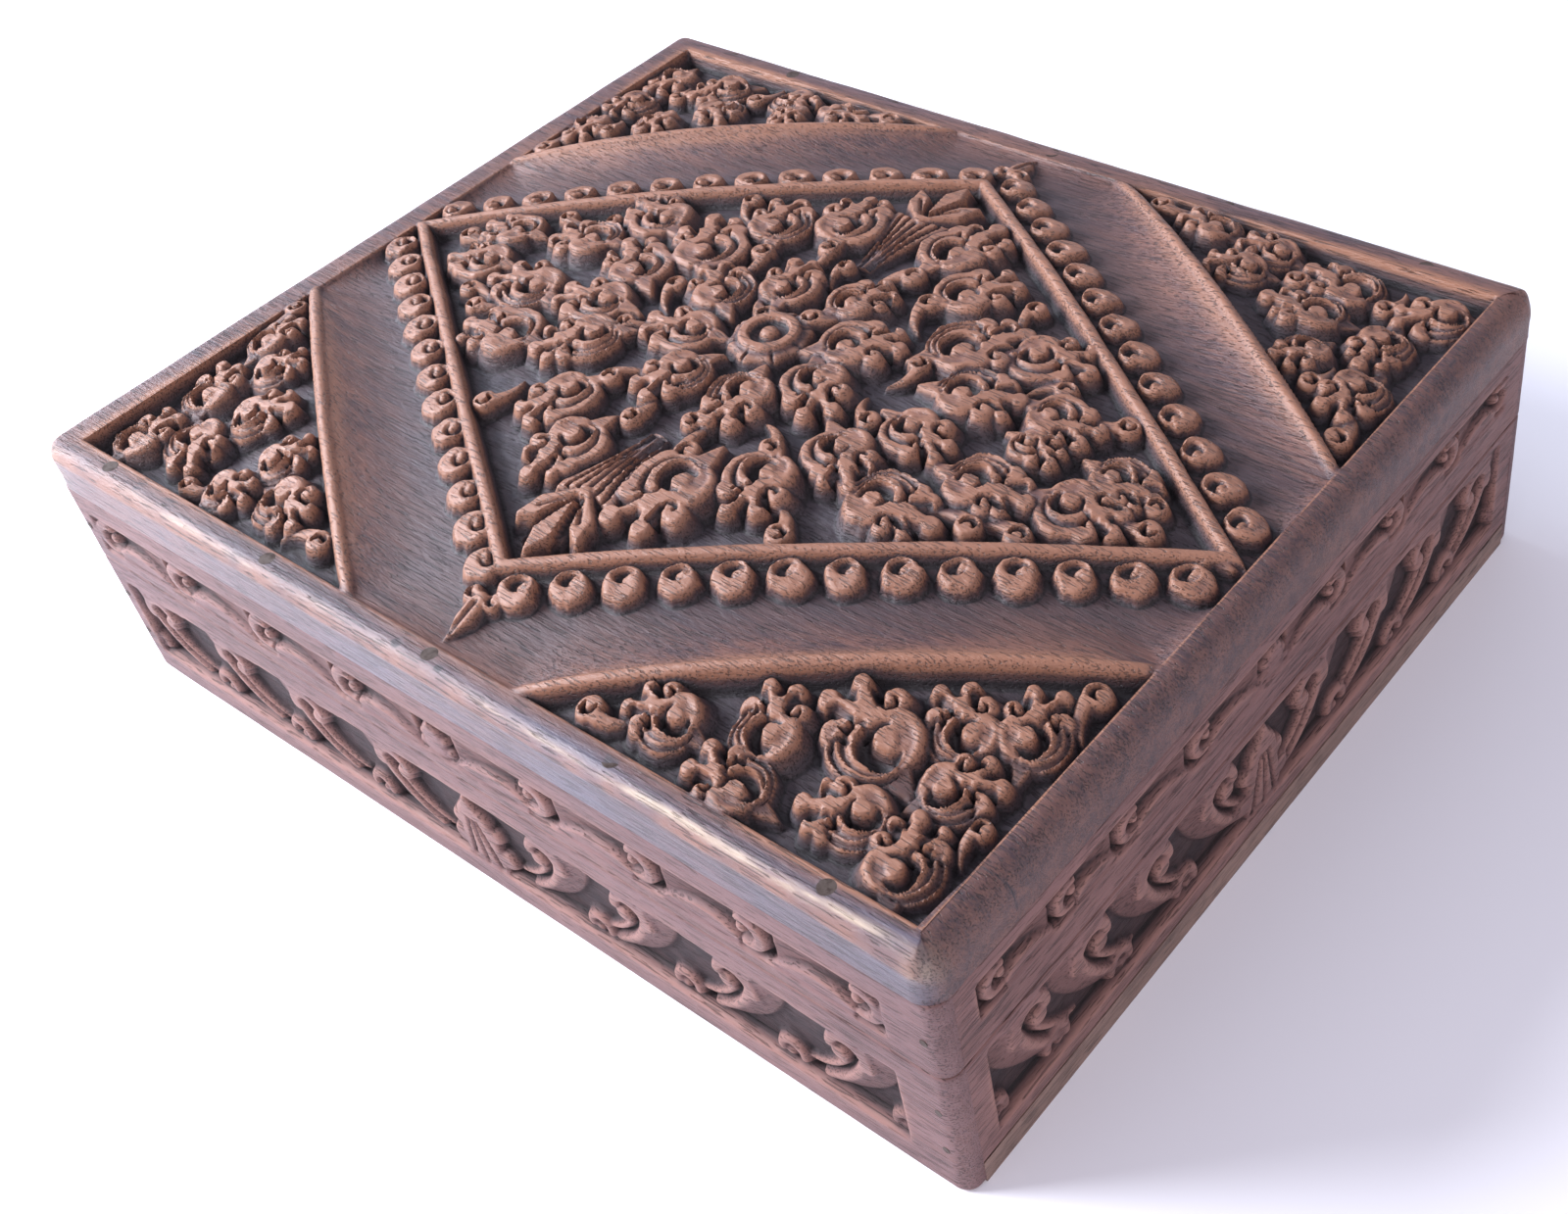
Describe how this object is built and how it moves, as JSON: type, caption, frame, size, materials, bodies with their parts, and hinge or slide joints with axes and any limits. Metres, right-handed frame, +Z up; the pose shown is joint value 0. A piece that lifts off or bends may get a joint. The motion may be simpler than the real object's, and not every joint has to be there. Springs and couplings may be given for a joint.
{
  "type": "stamp box",
  "caption": "Shallow rectangular box of carved hardwood with a crowned, leaf-carved lid on two small brass butt hinges, for stamps, papers and keepsakes.",
  "frame": {"origin": "middle of the underside, on the surface that the box rests on", "axes": "+X along the front wall from left to right, +Y from front to back, +Z up out of the lid"},
  "size_m": [0.25, 0.2096, 0.0773],
  "materials": {
    "base_wood": "open-pored reddish brown hardwood, waxed, worn at the edges",
    "lid_wood": "open-pored reddish brown hardwood, waxed and handled, darker in the carving",
    "bottom_wood": "plain brown hardwood, nearly bare",
    "nail_steel": "dark oxidised steel",
    "hinge_brass": "dull aged brass",
    "screw_brass": "aged brass"
  },
  "bodies": {
    "base": {"base_front_wall": "base_wood", "base_back_wall": "base_wood", "base_left_wall": "base_wood", "base_right_wall": "base_wood", "bottom_board": "bottom_wood", "bottom_nails": "nail_steel", "base_corner_nails": "nail_steel", "left_hinge_base_leaf": "hinge_brass", "right_hinge_base_leaf": "hinge_brass", "left_hinge_pin": "hinge_brass", "right_hinge_pin": "hinge_brass", "base_hinge_screws": "screw_brass"},
    "lid": {"lid_front_rim": "lid_wood", "lid_back_rim": "lid_wood", "lid_left_rim": "lid_wood", "lid_right_rim": "lid_wood", "lid_board": "lid_wood", "lid_board_nails": "nail_steel", "lid_corner_nails": "nail_steel", "left_hinge_lid_leaf": "hinge_brass", "right_hinge_lid_leaf": "hinge_brass", "lid_hinge_screws": "screw_brass"}
  },
  "joints": [
    {"name": "lid_hinge", "type": "hinge", "parent": "base", "child": "lid", "pos_m": [0, 0.1049, 0.03645], "axis": [-1, 0, 0], "range_deg": [0, 105]}
  ]
}
